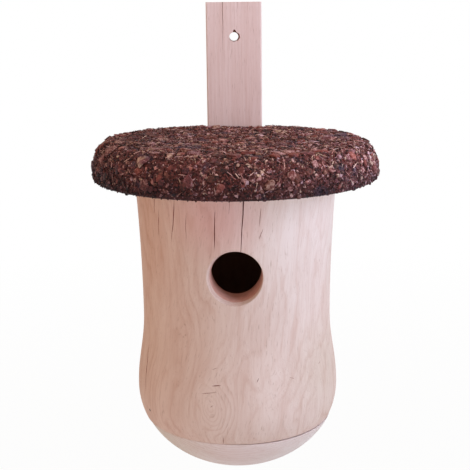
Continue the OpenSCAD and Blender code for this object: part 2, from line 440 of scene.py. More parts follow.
# Hue of a chip by its tint: olive, plain, grey and red; at 0, which is the crust's too, it is plain
CHIP_HUES = (
    (0.0, (1.0, 1.0, 1.0, 1)),
    (0.25, (0.93, 1.11, 0.88, 1)),
    (0.5, (1.0, 1.0, 1.0, 1)),
    (0.72, (0.88, 1.04, 1.26, 1)),
    (1.0, (1.15, 0.92, 0.84, 1)),
)
# The bark is darker towards its lower edge, with painted shade on the left and painted light on the right:
# the axis that each tint follows, where it starts and is full in millimetres, its full share, and the tint
BARK_SIDES = (
    ("Z", 15.5, 0.0, 0.98, (0.37, 0.35, 0.41, 1)),
    ("X", -30.0, -88.0, 0.5, (0.40, 0.29, 0.23, 1)),
    ("X", 30.0, 88.0, 0.5, (1.30, 1.50, 1.70, 1)),
)


def new_material(name):
    """A material with nodes: (material, tree, its Principled BSDF)."""
    material = bpy.data.materials.new(name)
    material.use_nodes = True
    tree = material.node_tree
    return material, tree, tree.nodes["Principled BSDF"]


def grain_position(tree, origin, turn=GRAIN_UPRIGHT):
    """Object coordinates in millimetres from an origin, turned so that the grain runs along Z."""
    coordinates = node(tree, "ShaderNodeTexCoord").outputs["Object"]
    moved = node(tree, "ShaderNodeMapping", {"Vector": coordinates, "Location": tuple(-origin)})
    turned = node(tree, "ShaderNodeMapping", {"Vector": moved.outputs["Vector"], "Rotation": turn,
                                              "Scale": (1 / MM, 1 / MM, 1 / MM)})
    return turned.outputs["Vector"]


def pith_distance(tree, place):
    """Distance of a position from the pith, square to the grain."""
    return vector_node(tree, "LENGTH", vector_node(tree, "MULTIPLY", place, (1, 1, 0)))


def finish_wood(tree, shader, figure, colour, rings=0.43, fibres=0.32, pores=0.45, rough=0.62):
    """Colour, roughness and relief of bare wood from its figure and its ground colour."""
    amount = math_node(tree, "ADD", math_node(tree, "MULTIPLY", figure["Ring"], rings),
                       math_node(tree, "MULTIPLY", figure["Fibre"], fibres))
    amount = math_node(tree, "ADD", amount, remap(tree, figure["Cloud"], 0.3, 0.7, -0.2, 0.22))
    colour = blend_colour(tree, math_node(tree, "MINIMUM", amount, 1.0), colour, LATE_WOOD, "MULTIPLY")
    pitted = math_node(tree, "MULTIPLY", figure["Pore"], pores)
    colour = blend_colour(tree, pitted, colour, PORE, "MULTIPLY")
    roughness = remap(tree, figure["Fibre"], 0, 1, rough - ROUGH_VARIES, rough + ROUGH_VARIES)
    height = math_node(tree, "SUBTRACT", figure["Fibre"], figure["Pore"])
    bump = node(tree, "ShaderNodeBump", {"Height": height, "Distance": GRAIN_RELIEF, "Strength": 0.6})
    plug_all(tree, shader.inputs, {"Base Color": colour, "Roughness": roughness,
                                   "Normal": bump.outputs["Normal"], "Specular IOR Level": 0.3})


def spot_on_skin(spot):
    """Middle of a spot on the log's turned skin."""
    height = spot.height * MM
    return turned_point(AXIS, log_radius(height), math.radians(spot.turn), height)


def stained(tree, ground, shading_patches):
    """A ground colour with patches of painted light and shade on the turned skin, each of which fades out
    from its middle.
    """
    for spot, tint_factor in shading_patches:
        reach = vector_node(tree, "LENGTH", grain_position(tree, spot_on_skin(spot)))
        share = remap(tree, reach, spot.radius, spot.radius / 4)
        ground = blend_colour(tree, share, ground, tint_factor, "MULTIPLY")
    return ground


def log_material(look):
    """Sanded wood of the log: heart to sapwood, rings that flow round the knots, and painted light and
    shade.
    """
    material, tree, shader = new_material("turned log")
    pith = AXIS + Vector((-look.pith_side, look.pith_back, LOG_TOP / 2))
    upright = Matrix.Rotation(-look.pith_lean, 3, "Y")
    leaning = grain_position(tree, pith, (0, -look.pith_lean, 0))
    place = use_group(tree, wandering_grain, {"Position": leaning, "Wander": LOG_WANDER})["Position"]
    depth = pith_distance(tree, grain_position(tree, pith, (0, look.heart_lean, 0)))
    age = pith_distance(tree, place)
    for knot in LOG_KNOTS:
        angle = math.radians(knot.turn)
        centre = upright @ (spot_on_skin(knot) - pith) / MM
        across = upright @ Vector((math.cos(angle), math.sin(angle), 0))
        knotted = use_group(tree, grain_round_knot, {
            "Position": place, "Knot": centre, "Across": across,
            "Knot Radius": knot.radius, "Start": centre.xy.length - KNOT_GROWTH * knot.radius})
        place = knotted["Position"]
        age = math_node(tree, "SMOOTH_MIN", age, knotted["Age"], KNOT_BLEND)
    figure = use_group(tree, wood_figure, {"Position": place, "Age": age,
                                           "Ring Width": look.ring_width / MM})
    ground = level_ramp(tree, remap(tree, depth, HEART_REACH, SAP_REACH),
                        (0.0, look.heart), (YOUNG_SHARE, look.young), (1.0, look.sap))
    # The ground colour gets patches of painted light and shade
    finish_wood(tree, shader, figure, stained(tree, ground, LOG_PAINTED_SHADING))
    return material


def plank_material(name, colour, pith, turn, ring_width, wander, shading_patches=(), **finish):
    """Bare wood of one ground colour about a pith, with any patches of painted light and shade on it."""
    material, tree, shader = new_material(name)
    place = use_group(tree, wandering_grain, {"Position": grain_position(tree, pith, turn),
                                              "Wander": wander})["Position"]
    figure = use_group(tree, wood_figure, {"Position": place, "Age": pith_distance(tree, place),
                                           "Ring Width": ring_width})
    finish_wood(tree, shader, figure, stained(tree, tuple(colour), shading_patches), **finish)
    return material


def cut_wood_material(name, colour):
    """Bored, burnished or broken wood: one colour, clouded a little along the grain."""
    material, tree, shader = new_material(name)
    cloud = noise_field(tree, grain_position(tree, AXIS), scale=0.4, detail=3.0, rough=0.6,
                        stretch=CUT_STRETCH)
    shade = remap(tree, cloud, 0.35, 0.7, to_high=0.5)
    clouded = blend_colour(tree, shade, tuple(colour), LATE_WOOD, "MULTIPLY")
    plug_all(tree, shader.inputs, {"Base Color": clouded, "Roughness": 0.75, "Specular IOR Level": 0.25})
    return material


def bark_material(look):
    """Bark whose tone and tint come from each chip's own attributes, darker towards its lower edge, with
    painted shade on its left and painted light on its right.
    """
    material, tree, shader = new_material("bark chips")
    tone = node(tree, "ShaderNodeAttribute", attribute_name="chip_tone").outputs["Fac"]
    tint = node(tree, "ShaderNodeAttribute", attribute_name="chip_tint").outputs["Fac"]
    place = grain_position(tree, ROOF_AXIS)
    granules = node(tree, "ShaderNodeTexVoronoi", {"Vector": place, "Scale": 0.8})
    speckle = node(tree, "ShaderNodeSeparateColor", {"Color": granules.outputs["Color"]}).outputs["Red"]
    grain = noise_field(tree, place, scale=0.9, detail=4.0, rough=0.65)
    drift = noise_field(tree, place, scale=0.06)
    level = tone
    for field, low, high, darker, paler in ((grain, 0.3, 0.7, -0.18, 0.18), (speckle, 0.0, 1.0, -0.2, 0.2),
                                            (drift, 0.35, 0.65, -0.12, 0.1)):
        level = math_node(tree, "ADD", level, remap(tree, field, low, high, darker, paler))
    colour = level_ramp(tree, level, (0.0, look.dark), (0.5, look.mid), (1.0, look.pale))
    colour = blend_colour(tree, 1.0, colour, level_ramp(tree, tint, *CHIP_HUES), "MULTIPLY")
    peeled = remap(tree, tint, 0.86, 0.9, to_high=0.45)
    colour = blend_colour(tree, peeled, colour, tuple(look.red))
    weathered = remap(tree, noise_field(tree, place, scale=0.05, rough=0.6), 0.57, 0.67, to_high=0.65)
    colour = blend_colour(tree, weathered, colour, tuple(look.slate))
    offsets = node(tree, "ShaderNodeSeparateXYZ", {"Vector": place}).outputs
    # Darker towards the lower edge, painted shade on the left and painted light on the right
    for axis, start, end, share, tint_factor in BARK_SIDES:
        amount = remap(tree, offsets[axis], start, end, 0.0, share)
        colour = blend_colour(tree, amount, colour, tint_factor, "MULTIPLY")
    height = math_node(tree, "SUBTRACT", grain, granules.outputs["Distance"])
    bump = node(tree, "ShaderNodeBump", {"Height": height, "Distance": BARK_RELIEF, "Strength": 0.8})
    roughness = remap(tree, grain, 0.3, 0.7, 0.6, 0.85)
    plug_all(tree, shader.inputs, {"Base Color": colour, "Roughness": roughness,
                                   "Normal": bump.outputs["Normal"], "Specular IOR Level": 0.25})
    return material


def metal_material(name, bright, dull):
    """Bare or plated metal that has dulled in clouds."""
    material, tree, shader = new_material(name)
    cloud = noise_field(tree, grain_position(tree, AXIS), scale=0.8, detail=4.0, rough=0.6)
    colour = blend_colour(tree, remap(tree, cloud, 0.4, 0.65), tuple(bright), tuple(dull))
    roughness = remap(tree, cloud, 0.3, 0.7, 0.35, 0.6)
    plug_all(tree, shader.inputs, {"Base Color": colour, "Roughness": roughness, "Metallic": 1.0})
    return material


# Meshes

MERGE_DISTANCE = 0.002 * MM


def add_object(name, data):
    """A new object in the scene that holds a mesh, a lamp or a camera."""
    made = bpy.data.objects.new(name, data)
    bpy.context.scene.collection.objects.link(made)
    return made


def mesh_object(name, shape, *materials):
    """An object from a bmesh, with its doubles merged and its faces turned outwards."""
    bmesh.ops.remove_doubles(shape, verts=shape.verts, dist=MERGE_DISTANCE)
    bmesh.ops.recalc_face_normals(shape, faces=shape.faces)
    mesh = bpy.data.meshes.new(name)
    shape.to_mesh(mesh)
    shape.free()
    for material in materials:
        mesh.materials.append(material)
    return add_object(name, mesh)


def node_copy(node_name, piece_name, material):
    """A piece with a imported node's shape, its loose triangles merged."""
    shape = bmesh.new()
    shape.from_mesh(frame["nodes"][node_name].data)
    for face in shape.faces:
        face.material_index = 0
    return mesh_object(piece_name, shape, material)


def loft(shape, rings, closed=False):
    """Faces between rings of points; closed joins the last to the first, or else both ends are capped."""
    rows = [[shape.verts.new(point) for point in ring] for ring in rings]
    pairs = list(zip(rows, rows[1:]))
    if closed:
        pairs.append((rows[-1], rows[0]))
    else:
        shape.faces.new(rows[0])
        shape.faces.new(rows[-1])
    for first, second in pairs:
        for i in range(len(first)):
            k = (i + 1) % len(first)
            shape.faces.new((first[i], first[k], second[k], second[i]))
    return rows


def block(name, centre, size, material):
    """A box as a mesh object."""
    shape = bmesh.new()
    place = Matrix.Translation(centre) @ Matrix.Diagonal((*size, 1))
    bmesh.ops.create_cube(shape, size=1, matrix=place)
    return mesh_object(name, shape, material)


def turned_point(axis, radius, turn, height):
    """A point about an upright axis; turn 0 is the front, and +X is at a quarter turn."""
    return Vector((axis.x + radius * math.sin(turn), axis.y - radius * math.cos(turn), axis.z + height))


def turns(columns):
    """Even turns of a full circle, in radians."""
    return [2 * math.pi * i / columns for i in range(columns)]


def log_radius(height):
    """Radius of the turned outside of log and floor: a bowl, a bell's waist and a flare to the top."""
    if height >= WAIST_Z:
        return WAIST_R + (TOP_R - WAIST_R) * ((height - WAIST_Z) / (LOG_TOP - WAIST_Z)) ** 2
    if height >= BELLY_Z:
        swing = math.cos(math.pi * (WAIST_Z - height) / (WAIST_Z - BELLY_Z))
        return WAIST_R + (BELLY_R - WAIST_R) * (1 - swing) / 2
    bowl_h = BELLY_Z / math.sqrt(1 - (FOOT_R / BELLY_R) ** 2)
    return BELLY_R * math.sqrt(1 - ((BELLY_Z - height) / bowl_h) ** 2)


def even_steps(low, high, steps):
    """Values from one to another in even steps, with both ends."""
    return [low + (high - low) * i / steps for i in range(steps + 1)]


def cut_away(target, *cutters):
    """Takes the cutters' shapes out of a mesh object, which gains their materials."""
    for cutter in cutters:
        cut = target.modifiers.new(cutter.name, "BOOLEAN")
        cut.operation = "DIFFERENCE"
        cut.solver = "EXACT"
        cut.material_mode = "TRANSFER"
        cut.object = cutter
    apply_modifiers(target)
    for cutter in cutters:
        bpy.data.objects.remove(cutter)


def apply_modifiers(target):
    """Makes an object's mesh what its modifiers show, and removes them."""
    graph = bpy.context.evaluated_depsgraph_get()
    mesh = bpy.data.meshes.new_from_object(target.evaluated_get(graph), preserve_all_data_layers=True,
                                           depsgraph=graph)
    target.modifiers.clear()
    target.data = mesh


def settle(piece, slot, *nodes, sharp=None):
    """A finished piece rides on the box and stands for its nodes; its slot is not used."""
    if sharp:
        piece.data.shade_smooth()
        piece.data.set_sharp_from_angle(angle=math.radians(sharp))
    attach(piece, BODY)
    if nodes:
        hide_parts(*nodes)


def dress(name, material):
    """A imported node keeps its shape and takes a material."""
    mesh = frame["nodes"][name].data
    mesh.materials.clear()
    mesh.materials.append(material)


# The turned log

# A drying crack: turns of its two ends in degrees, their heights, its width and its depth in millimetres,
# and whether its upper end runs out under the roof
Crack = namedtuple("Crack", "top_turn low_turn top_z low_z width depth open_top")
CRACKS = (
    Crack(4.4, 2.2, 195.5, 152.0, 1.00, 6.0, True),
    Crack(-11.2, -11.9, 183.0, 157.0, 0.60, 1.8, False),
    Crack(-34.6, -38.5, 189.0, 160.0, 0.65, 1.5, False),
    Crack(-49.6, -51.2, 195.5, 177.0, 0.90, 1.6, True),
    Crack(-47.2, -48.9, 180.0, 162.0, 0.50, 0.9, False),
    Crack(-27.6, -28.6, 180.0, 162.0, 0.40, 0.7, False),
    Crack(-3.5, -3.6, 195.5, 180.5, 0.50, 1.0, True),
    Crack(13.4, 12.5, 184.0, 172.0, 0.40, 0.7, False),
    Crack(14.6, 12.5, 170.5, 164.0, 0.40, 0.7, False),
    Crack(-65.2, -63.8, 86.0, 54.0, 0.70, 1.5, False),
    Crack(-9.2, -14.2, 71.1, 70.4, 0.60, 0.9, False),
    Crack(-10.8, -20.0, 66.7, 64.8, 0.30, 0.4, False),
    Crack(-13.4, -15.2, 58.1, 56.5, 0.35, 0.5, False),
    Crack(11.7, 10.5, 75.4, 72.5, 0.40, 0.6, False),
    Crack(-11.0, -14.1, 82.2, 80.6, 0.30, 0.4, False),
    Crack(29.5, 33.1, 73.0, 71.3, 0.30, 0.4, False),
    Crack(55.9, 52.6, 76.2, 75.0, 0.35, 0.5, False),
    Crack(-8.2, -8.7, 37.5, 29.5, 0.30, 0.6, False),
    Crack(96.0, 94.0, 195.5, 150.0, 0.70, 5.0, True),
    Crack(131.0, 133.0, 120.0, 84.0, 0.60, 2.0, False),
    Crack(-112.0, -109.0, 195.5, 168.0, 0.65, 2.0, True),
)
CRACK_STATIONS = 14
# A crack's line wanders by up to this many degrees, and each crack has its own place in the noise
CRACK_WANDER = 0.45
WANDER_FINENESS = 0.12
WANDER_PLACE = 7.3
# A crack gapes by a mean share of its width and depth that varies along it, down to a least share of each;
# one that is open at the top narrows by a share to its lower end, and others close bluntly at both ends
MEAN_GAPE = 0.8
GAPE_VARIES = 0.5
GAPE_FINENESS = 0.3
GAPE_PLACE = 3.1
OPEN_NARROWS = 0.7
END_BLUNTNESS = 0.7
LEAST_WIDTH = 0.04
LEAST_DEPTH = 0.1
# How far cutters stand out of the wood that they cut
PROUD = 0.6 * MM
CAVITY_ROWS = 12
WALL_MIDDLE = (CAVITY_R + WAIST_R) / 2
# How often the tool's wave rises and falls in a millimetre of the skin
TOOL_WAVE_FINENESS = 0.04
# The entrance's plug stands out of the skin and is wider there; its thin edge has a corner at a share of the
# edge's width, and its flare dies away along a curve, with the outer rings sanded as the skin is
ENTRANCE_COLUMNS = 96
ENTRANCE_PROUD = 4 * MM
ENTRANCE_MARGIN = 1 * MM
EDGE_CORNER = 0.3
FLARE_DEPTH = 6 * MM
FLARE_RINGS = 4
FLARE_CURVE = 1.6
SANDED_FLARE_RINGS = 2
NAIL_PIT_R = 0.95 * MM
NAIL_PIT_DEPTH = 1.2 * MM
NAIL_PIT_COLUMNS = 16


def log_outline(rows):
    """Closed outline of the log's wall: up the skin, then down the cavity."""
    outer = [(log_radius(SEAM) - SEAM_BEVEL, SEAM)]
    outer += [(log_radius(z), z) for z in even_steps(SEAM + SEAM_BEVEL, LOG_TOP, rows)]
    return outer + [(CAVITY_R, z) for z in even_steps(LOG_TOP, SEAM, CAVITY_ROWS)]


def log_blank(look, wood, bored_wood):
    """The log's turned and bored wall, with the tool's slight waves in its skin."""
    shape = bmesh.new()
    rings = []
    for turn in turns(look.columns):
        ring = []
        for radius, height in log_outline(look.rows):
            point = turned_point(AXIS, radius, turn, height)
            if radius > WALL_MIDDLE:
                wave = look.tool_wave * noise.noise((point - AXIS) / MM * TOOL_WAVE_FINENESS)
                point = turned_point(AXIS, radius + wave, turn, height)
            ring.append(point)
        rings.append(ring)
    loft(shape, rings, closed=True)
    for face in shape.faces:
        inside = all((vertex.co - AXIS).xy.length < WALL_MIDDLE for vertex in face.verts)
        face.material_index = 1 if inside else 0
    return mesh_object("turned_log", shape, wood, bored_wood)


def entrance_cutter(look, bored_wood, skin_wood):
    """Plug with the shape of the entrance: a bore that flares to the skin, and a thin sanded edge."""
    def ring(spread, margin, sink):
        """Points at a share of the flare and a margin round it, so far below the skin."""
        points = []
        for a in turns(ENTRANCE_COLUMNS):
            flare = look.flare + look.flare_side * math.cos(a - look.flare_turn)
            radius = ENTRANCE_R + spread * flare + margin
            x, z = radius * math.cos(a), ENTRANCE_Z + radius * math.sin(a)
            skin = math.sqrt(log_radius(z) ** 2 - x ** 2)
            points.append(Vector((AXIS.x + x, AXIS.y - skin + sink, AXIS.z + z)))
        return points

    edge = look.rim_round
    corner = EDGE_CORNER * edge
    edge_rings = [ring(1, edge + ENTRANCE_MARGIN, -ENTRANCE_PROUD), ring(1, edge, 0),
                  ring(1, corner, corner), ring(1, 0, edge)]
    flare_rings = [ring((1 - share) ** FLARE_CURVE, 0, edge + FLARE_DEPTH * share)
                   for share in even_steps(0, 1, FLARE_RINGS)[1:]]
    end = [Vector((point.x, AXIS.y, point.z)) for point in flare_rings[-1]]
    shape = bmesh.new()
    rows = loft(shape, edge_rings + flare_rings + [end])
    sanded = {vertex for row in rows[:len(edge_rings) + SANDED_FLARE_RINGS] for vertex in row}
    for face in shape.faces:
        face.material_index = 1 if sanded.issuperset(face.verts) else 0
    return mesh_object("entrance", shape, bored_wood, skin_wood)


def crack_cutter(material):
    """Thin wedges that stand in the skin, each with a wandering line and closing ends."""
    shape = bmesh.new()
    for number, crack in enumerate(CRACKS):
        swing = crack.low_turn - crack.top_turn
        fall = crack.low_z - crack.top_z
        across = Vector((math.radians(swing) * BELLY_R, fall * MM)).orthogonal().normalized()
        rings = []
        for share in even_steps(0, 1, CRACK_STATIONS):
            height = (crack.top_z + fall * share) * MM
            sample = Vector((number * WANDER_PLACE, height / MM * WANDER_FINENESS, 0))
            turn = math.radians(crack.top_turn + swing * share + CRACK_WANDER * noise.noise(sample))
            if crack.open_top:
                gape = 1 - OPEN_NARROWS * share
            else:
                gape = math.sin(math.pi * share) ** END_BLUNTNESS
            sample = Vector((height / MM * GAPE_FINENESS, number * GAPE_PLACE, 0))
            gape *= MEAN_GAPE + GAPE_VARIES * noise.noise(sample)
            width = crack.width * MM * max(gape, LEAST_WIDTH)
            depth = crack.depth * MM * max(gape, LEAST_DEPTH)
            radius = log_radius(height)
            half = across * width / 2 * (depth + PROUD) / depth
            rings.append([turned_point(AXIS, radius + PROUD, turn - half.x / radius, height - half.y),
                          turned_point(AXIS, radius + PROUD, turn + half.x / radius, height + half.y),
                          turned_point(AXIS, radius - depth, turn, height)])
        loft(shape, rings)
    return mesh_object("cracks", shape, material)


def nail_pit_cutter(material):
    """Round pits where the nails were driven in below the skin."""
    shape = bmesh.new()
    for name in NAILS:
        low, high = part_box(name)
        middle = (low + high) / 2 - AXIS
        outward = middle.xy.normalized().to_3d()
        along = Vector((-outward.y, outward.x, 0))
        skin = log_radius(middle.z)
        rings = []
        for distance in (skin - NAIL_PIT_DEPTH, skin + PROUD):
            centre = AXIS + outward * distance + Vector((0, 0, middle.z))
            rings.append([centre + NAIL_PIT_R * (along * math.cos(a) + Vector((0, 0, math.sin(a))))
                          for a in turns(NAIL_PIT_COLUMNS)])
        loft(shape, rings)
    return mesh_object("nail_pits", shape, material)


def back_flat_cutter(material):
    """Block behind the plane that the batten stands on."""
    middle = Vector((0, BATTEN_LOW.y + BELLY_R / 2, AXIS.z))
    return block("back_flat", middle, (4 * BELLY_R, BELLY_R, 4 * LOG_TOP), material)


class NESTBOX_OT_turned_log(bpy.types.Operator):
    """Turns the hollow log, with its entrance, its drying cracks and the flat for the batten"""

    bl_idname = "nestbox.turned_log"
    bl_label = "Turned log"

    def execute(self, context):
        look = context.scene.nestbox_wood
        wood = log_material(look)
        log = log_blank(look, wood, cut_wood_material("bored wood", look.cavity))
        torn = cut_wood_material("torn wood", look.crack)
        cut_away(log, back_flat_cutter(wood),
                 entrance_cutter(look, cut_wood_material("entrance wall", look.bore), wood),
                 crack_cutter(torn), nail_pit_cutter(torn))
        settle(log, "turned_log", "log_body", sharp=32)
        return {"FINISHED"}


# The turned floor

FLOOR_COLUMNS = 192
BOWL_ROWS = 28
FLOOR_BEVEL = 0.25 * MM
# Where the seam has opened most, from the front to the right, and how bluntly the gap closes to either side
GAP_TURN = math.radians(80)
GAP_CURVE = 0.7


def floor_outline(gap):
    """Outline of the floor, from its underside's middle to its spigot's, with the seam open by a gap."""
    seam = SEAM - gap
    bowl = [(log_radius(z), z) for z in even_steps(0, seam - FLOOR_BEVEL, BOWL_ROWS)]
    return [(0, 0), *bowl, (log_radius(seam) - FLOOR_BEVEL, seam),
            (SPIGOT_R, seam), (SPIGOT_R, SPIGOT_TOP), (0, SPIGOT_TOP)]


class NESTBOX_OT_turned_floor(bpy.types.Operator):
    """Turns the bowl-shaped floor, whose shoulder has shrunk away from the log on the right"""

    bl_idname = "nestbox.turned_floor"
    bl_label = "Turned floor"

    def execute(self, context):
        look = context.scene.nestbox_wood
        # The floor's ground colour gets painted shade on its left and painted light on its right
        wood = plank_material("turned floor wood", look.floor, FLOOR_AXIS + BOARD_PITH, GRAIN_SIDEWAYS,
                              ring_width=2.4, wander=10.0, shading_patches=FLOOR_PAINTED_SHADING)
        rings = []
        for turn in turns(FLOOR_COLUMNS):
            gap = look.seam_gap * max(0, math.cos(turn - GAP_TURN)) ** GAP_CURVE
            rings.append([turned_point(FLOOR_AXIS, radius, turn, height)
                          for radius, height in floor_outline(gap)])
        shape = bmesh.new()
        loft(shape, rings, closed=True)
        floor = mesh_object("turned_floor", shape, wood)
        settle(floor, "turned_floor", "floor_bowl", sharp=32)
        return {"FINISHED"}


# The batten

HANGER_Z = 281 * MM
HANGER_R = 3.25 * MM
CHECK_X = -7.8 * MM
CHECK_LENGTH = 46 * MM
CHECK_WIDTH = 1.0 * MM
CHECK_DEPTH = 0.6 * MM
CHECK_WANDER = 0.3 * MM
# How often the check wanders along its length, and its place in the noise
CHECK_FINENESS = 4
CHECK_PLACE = 2
# Shares of its width and depth that the check loses to its lower end
CHECK_NARROWS = 0.9
CHECK_SHALLOWS = 0.8
# The torn wood's middle lies up and to the right of the hole's; its reach, spike and raggedness are shares
# of the hole's radius, and its floor is a share of its mouth
TEAR_X = 1.1 * MM
TEAR_Z = HANGER_Z + 0.2 * MM
TEAR_DEPTH = 2.4 * MM
TEAR_CORNERS = 32
TEAR_SEED = 5
TEAR_REACH = 0.98
TEAR_RAGGED = 0.06
TEAR_FLOOR = 0.8
SPIKE_REACH = 0.65
SPIKE_TURN = math.radians(100)
SPIKE_POINT = 24


def tear_out_cutter(material):
    """Splintered wood round the upper right of the hanging hole, with a spike that runs upwards."""
    draw = random.Random(TEAR_SEED)
    centre = Vector((TEAR_X, BATTEN_LOW.y, AXIS.z + TEAR_Z))
    outer = []
    for a in turns(TEAR_CORNERS):
        spike = SPIKE_REACH * max(0, math.cos(a - SPIKE_TURN)) ** SPIKE_POINT
        reach = HANGER_R * (TEAR_REACH + spike + TEAR_RAGGED * draw.uniform(-1, 1))
        outer.append(Vector((reach * math.cos(a), 0, reach * math.sin(a))))
    shape = bmesh.new()
    loft(shape, [[centre + point + Vector((0, -PROUD, 0)) for point in outer],
                 [centre + point * TEAR_FLOOR + Vector((0, TEAR_DEPTH, 0)) for point in outer]])
    return mesh_object("tear_out", shape, material)


def check_cutter(material):
    """Narrow drying check down from the batten's head, closing towards its lower end."""
    shape = bmesh.new()
    mouth = BATTEN_LOW.y - PROUD
    rings = []
    for share in even_steps(0, 1, CRACK_STATIONS):
        sample = Vector((share * CHECK_FINENESS, CHECK_PLACE, 0))
        x = CHECK_X + CHECK_WANDER * noise.noise(sample)
        z = BATTEN_HIGH.z + PROUD - (CHECK_LENGTH + PROUD) * share
        half = CHECK_WIDTH / 2 * (1 - CHECK_NARROWS * share)
        bottom = BATTEN_LOW.y + CHECK_DEPTH * (1 - CHECK_SHALLOWS * share)
        rings.append([Vector((x - half, mouth, z)), Vector((x + half, mouth, z)), Vector((x, bottom, z))])
    loft(shape, rings)
    return mesh_object("check", shape, material)


class NESTBOX_OT_batten(bpy.types.Operator):
    """Planes the batten, with a drying check and splintered wood round its hanging hole"""

    bl_idname = "nestbox.batten"
    bl_label = "Hanging batten"

    def execute(self, context):
        look = context.scene.nestbox_wood
        wood = plank_material("planed batten wood", look.batten, BATTEN_PITH, GRAIN_UPRIGHT,
                              ring_width=2.2, wander=7.0, rings=0.15)
        batten = node_copy("hanging_batten", "planed_batten", wood)
        cut_away(batten, tear_out_cutter(cut_wood_material("splintered wood", look.splinters)),
                 check_cutter(cut_wood_material("check inside", look.check)))
        batten.data.shade_flat()
        settle(batten, "batten_wood", "hanging_batten")
        return {"FINISHED"}


class NESTBOX_OT_roof_board(bpy.types.Operator):
    """Gives the roof board its sawn wood"""

    bl_idname = "nestbox.roof_board"
    bl_label = "Roof board"

    def execute(self, context):
        look = context.scene.nestbox_wood
        dress("roof_board", plank_material(
            "sawn roof board", look.board, ROOF_AXIS + BOARD_PITH, GRAIN_SIDEWAYS,
            ring_width=4.0, wander=14.0, rings=0.7, rough=0.75))
        return {"FINISHED"}


# The bark coat

ROOF_COLUMNS = 240
SHOULDER_STEPS = 10
LINING_DEPTH = 4.6 * MM
CRUST_SPACING = 2.4 * MM
CRUST_BEVEL = 1.0 * MM
NOTCH_CLEAR = 0.5 * MM
# Rise, for each unit outwards, of the ways in which lumps stand out and the fuller shoulder swells
LUMP_RISE = 0.7
SWELL_RISE = 3
# Fineness of the crust's large and small lumps in a millimetre, and the small ones' share
LARGE_LUMPS = 0.22
SMALL_LUMPS = 0.55
SMALL_SHARE = 0.6
# The lumps have this share of their height at the coat's lower edge, and all of it a little way up the rim
EDGE_SHARE = 0.4


def roof_outline(depth, bevel):
    """Outline at a depth below the coat's skin, from its lower edge to its middle, as (radius, height)."""
    width = SHOULDER_W - depth
    rise = ROOF_T - RIM_H - depth
    edge = ROOF_R - depth
    shoulder = [(edge - width * (1 - math.cos(a)), RIM_H + rise * math.sin(a))
                for a in even_steps(0, math.pi / 2, SHOULDER_STEPS)]
    return [(edge - bevel, 0), (edge, bevel), *shoulder, (0, RIM_H + rise)]


def resample(outline, spacing):
    """Points along an outline at an even spacing."""
    points = [outline[0]]
    for (r0, z0), (r1, z1) in zip(outline, outline[1:]):
        count = max(1, round(math.hypot(r1 - r0, z1 - z0) / spacing))
        points += [(r0 + (r1 - r0) * i / count, z0 + (z1 - z0) * i / count) for i in range(1, count + 1)]
    return points


def lumpy_rings(outline, lump, swell=0, swell_turn=0):
    """Rings of points of a turned outline with a lumpy skin and a fuller shoulder on one side."""
    rings = []
    for turn in turns(ROOF_COLUMNS):
        outward = Vector((math.sin(turn), -math.cos(turn), LUMP_RISE)).normalized()
        upward = Vector((math.sin(turn), -math.cos(turn), SWELL_RISE)).normalized()
        fullness = swell * max(0, math.cos(turn - swell_turn))
        ring = []
        for radius, height in outline:
            point = turned_point(ROOF_AXIS, radius, turn, height)
            sample = (point - ROOF_AXIS) / MM
            rough = noise.noise(sample * LARGE_LUMPS) + SMALL_SHARE * noise.noise(sample * SMALL_LUMPS)
            shoulder = min(1, (radius / (ROOF_R - SHOULDER_W)) ** 2) * (height / ROOF_T) ** 2
            relief = lump * rough * min(1, EDGE_SHARE + height / RIM_H)
            ring.append(point + outward * relief + upward * fullness * shoulder)
        rings.append(ring)
    return rings


def crust_skin(look):
    """Rings of the crust's lumpy outside, which the chips lie on."""
    outline = resample(roof_outline(look.sink, CRUST_BEVEL), CRUST_SPACING)
    return lumpy_rings(outline, look.lump, look.swell, look.swell_turn)


def crust_blank(look, bark):
    """The crust from its lumpy outside to the lining on the roof board, all of one tone."""
    lining = lumpy_rings(roof_outline(LINING_DEPTH, 0), 0)
    shape = bmesh.new()
    loft(shape, [skin + inner[::-1] for skin, inner in zip(crust_skin(look), lining)], closed=True)
    crust = mesh_object("bark_crust", shape, bark)
    tone = crust.data.attributes.new("chip_tone", "FLOAT", "POINT")
    tone.data.foreach_set("value", [look.crust_tone] * len(crust.data.vertices))
    return crust


def notch_cutter(bark):
    """Block where the batten stands in the roof's rear."""
    front = BATTEN_LOW.y - NOTCH_CLEAR
    width = BATTEN_HIGH.x - BATTEN_LOW.x + 2 * NOTCH_CLEAR
    middle = Vector((0, front + ROOF_R / 2, ROOF_AXIS.z))
    return block("notch", middle, (width, ROOF_R, ROOF_R), bark)


def chip_bed(look, foot):
    """Open skin above a height that chips are strewn on, without the place where the batten stands."""
    half_notch = (BATTEN_HIGH.x - BATTEN_LOW.x) / 2 + look.bed_margin

    def bare(point):
        """Whether a point is where the batten stands, or too low."""
        in_notch = abs(point.x) < half_notch and point.y > BATTEN_LOW.y - look.bed_margin
        return in_notch or point.z < ROOF_AXIS.z + foot

    shape = bmesh.new()
    rows = [[shape.verts.new(point) for point in ring] for ring in crust_skin(look)]
    for first, second in zip(rows, rows[1:] + rows[:1]):
        for i in range(len(first) - 1):
            corners = (first[i], second[i], second[i + 1], first[i + 1])
            if not any(bare(corner.co) for corner in corners):
                shape.faces.new(corners)
    return mesh_object("chip_bed", shape)


# Chips of unit size, each drawn anew

CRUMB_SIDES = 5
SLIVER_STATIONS = 3
SLIVER_SIDES = 3
# A sliver's blunt end as a share of its length, the share of its girth that doesn't taper, its height as a
# share of its width, how far it lifts as a share of its bend, and how far its line strays
SLIVER_END = 0.12
SLIVER_TIP = 0.35
SLIVER_FLAT = 0.6
SLIVER_LIFT = 0.5
SLIVER_STRAYS = 0.015
# A flake's upper face as a share of its lower one, how far off centre its middle lies, and as shares of its
# thickness the height of its middle and how far its corners stand off
FLAKE_TOP = 0.85
FLAKE_SHIFT = 0.1
FLAKE_CROWN = 1.4
FLAKE_RAGGED = 0.1


